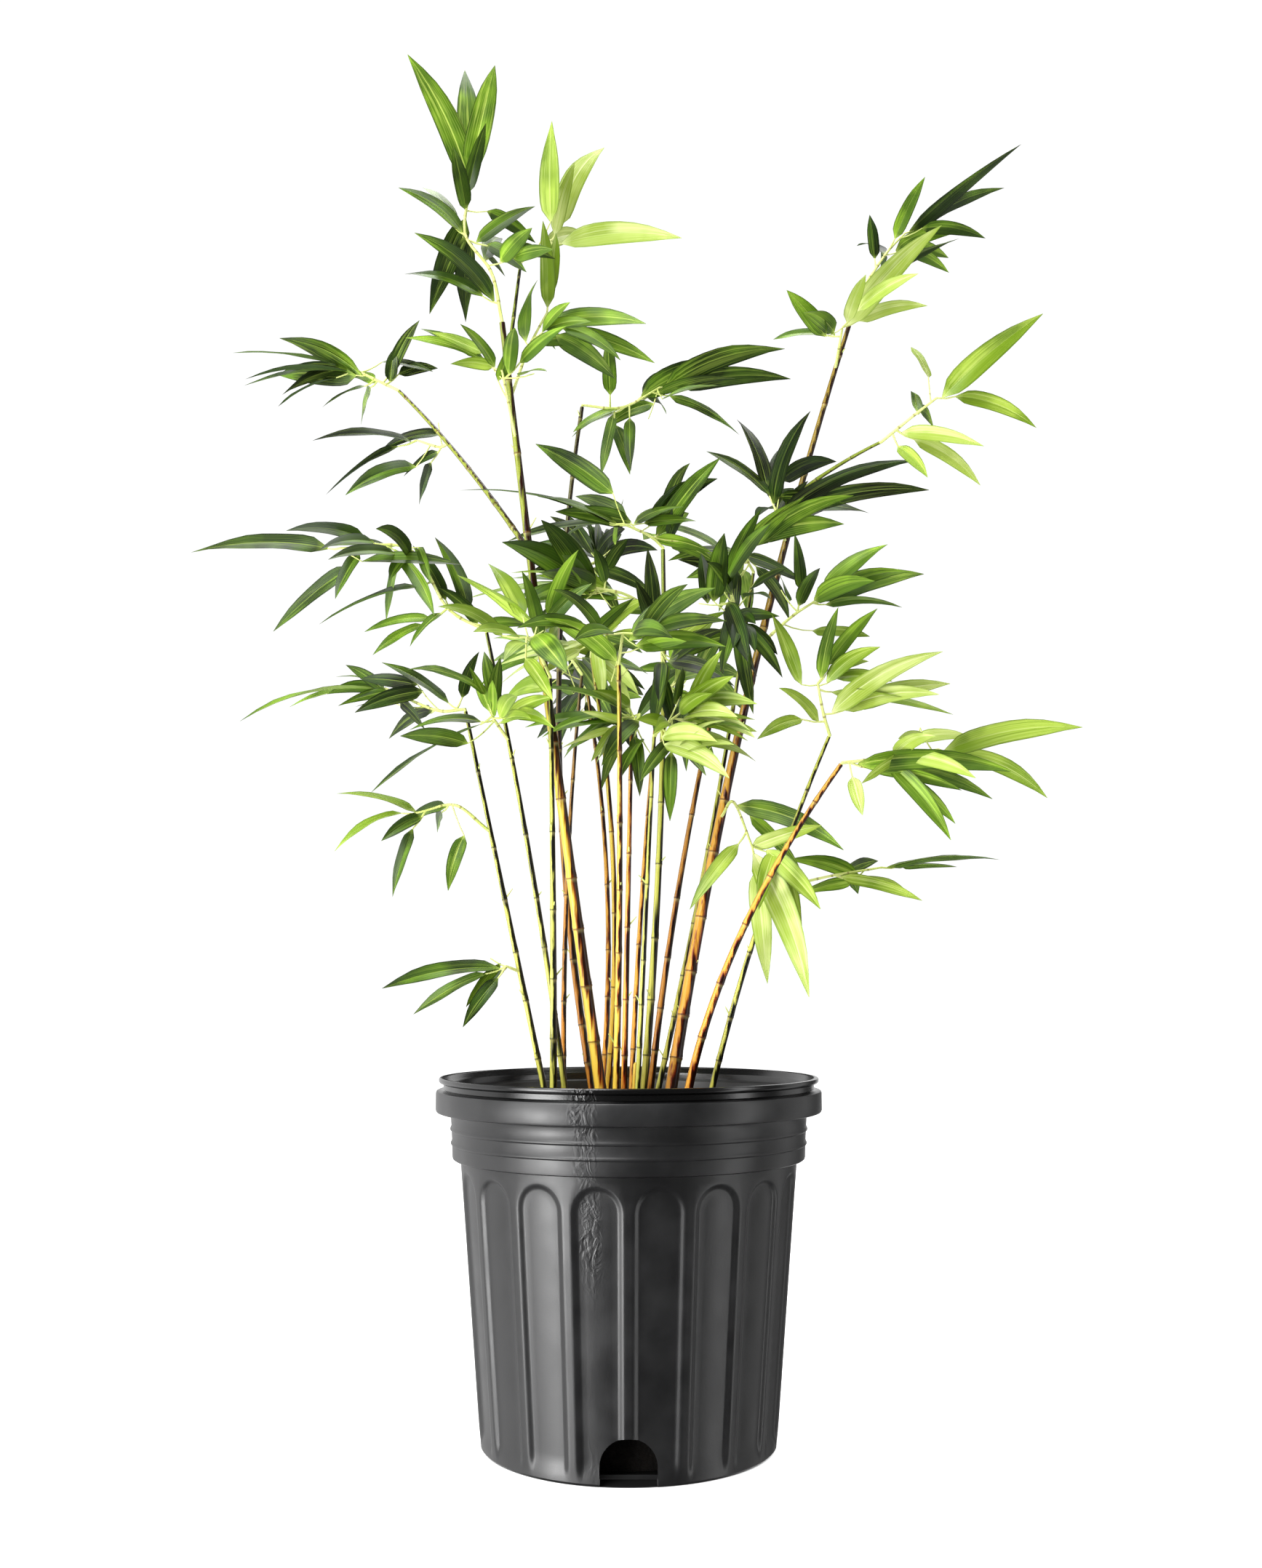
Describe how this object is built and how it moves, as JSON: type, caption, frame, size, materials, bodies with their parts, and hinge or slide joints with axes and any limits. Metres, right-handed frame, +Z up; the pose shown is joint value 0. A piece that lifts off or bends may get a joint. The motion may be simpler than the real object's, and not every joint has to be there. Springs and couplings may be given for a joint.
{
  "type": "potted bamboo",
  "caption": "Young clumping bamboo in a round black nursery pot: slender upright canes and open, leafy side branches, standing on the pot's flat base.",
  "frame": {"origin": "centre of the pot's flat underside", "axes": "+Z up through the clump, +X to the right and -Y towards the viewer of the picture"},
  "size_m": [0.6504, 0.4151, 1.0293],
  "materials": {
    "pot": "charcoal black blow-moulded plastic, satin, with faint scuffs",
    "soil": "dark moist potting mix of bark and peat, rough",
    "cane_green": "smooth waxy green cane with pale and dark rings at the joints",
    "cane_yellow": "smooth yellow cane flushed rust red on one side, dark rings at the joints",
    "cane_orange": "smooth orange cane flushed rust red, dark rings at the joints",
    "cane_brown": "smooth red-brown cane, dark rings at the joints",
    "leaf_dark": "deep green leaf, satin, fine lengthwise veins and a pale midrib",
    "leaf_mid": "mid green leaf, satin, fine lengthwise veins and a pale midrib",
    "leaf_bright": "young yellow-green leaf, satin, fine lengthwise veins and a pale midrib"
  },
  "bodies": {
    "root": {"bough_left": "cane_yellow", "bough_right": "cane_green", "cane_01": "cane_green", "cane_02": "cane_green", "cane_03": "cane_brown", "cane_04": "cane_green", "cane_05": "cane_orange", "cane_06": "cane_yellow", "cane_07": "cane_yellow", "cane_08": "cane_orange", "cane_09": "cane_orange", "cane_10": "cane_green", "cane_11": "cane_brown", "cane_12": "cane_green", "cane_13": "cane_orange", "cane_14": "cane_green", "cane_centre": "cane_green", "cane_stub": "cane_yellow", "cane_tall_back": "cane_brown", "cane_tall_left": "cane_yellow", "cane_tall_right": "cane_orange", "leader_right": "cane_green", "leaves_back_left": "leaf_mid", "leaves_back_low": "leaf_dark", "leaves_back_right": "leaf_mid", "leaves_back_upper": "leaf_dark", "leaves_bough_left": "leaf_dark", "leaves_bough_left_low": "leaf_dark", "leaves_bough_right": "leaf_bright", "leaves_centre_crown": "leaf_mid", "leaves_centre_front": "leaf_mid", "leaves_centre_left": "leaf_mid", "leaves_centre_left_low": "leaf_bright", "leaves_centre_low_left": "leaf_bright", "leaves_centre_low_right": "leaf_bright", "leaves_centre_right": "leaf_dark", "leaves_centre_top": "leaf_mid", "leaves_front_left": "leaf_bright", "leaves_front_mid": "leaf_mid", "leaves_left_inner": "leaf_mid", "leaves_left_low": "leaf_dark", "leaves_left_lower": "leaf_mid", "leaves_left_mid": "leaf_mid", "leaves_low_right": "leaf_bright", "leaves_lowest_left": "leaf_dark", "leaves_lowest_right": "leaf_mid", "leaves_right_fan": "leaf_bright", "leaves_right_hanging": "leaf_dark", "leaves_right_high": "leaf_dark", "leaves_right_low": "leaf_bright", "leaves_right_upper": "leaf_mid", "leaves_top_centre": "leaf_bright", "leaves_top_centre_low": "leaf_mid", "leaves_top_left": "leaf_mid", "leaves_top_right": "leaf_dark", "leaves_upper_left": "leaf_mid", "leaves_upper_right": "leaf_bright", "pot": "pot", "soil": "soil"}
  },
  "joints": []
}
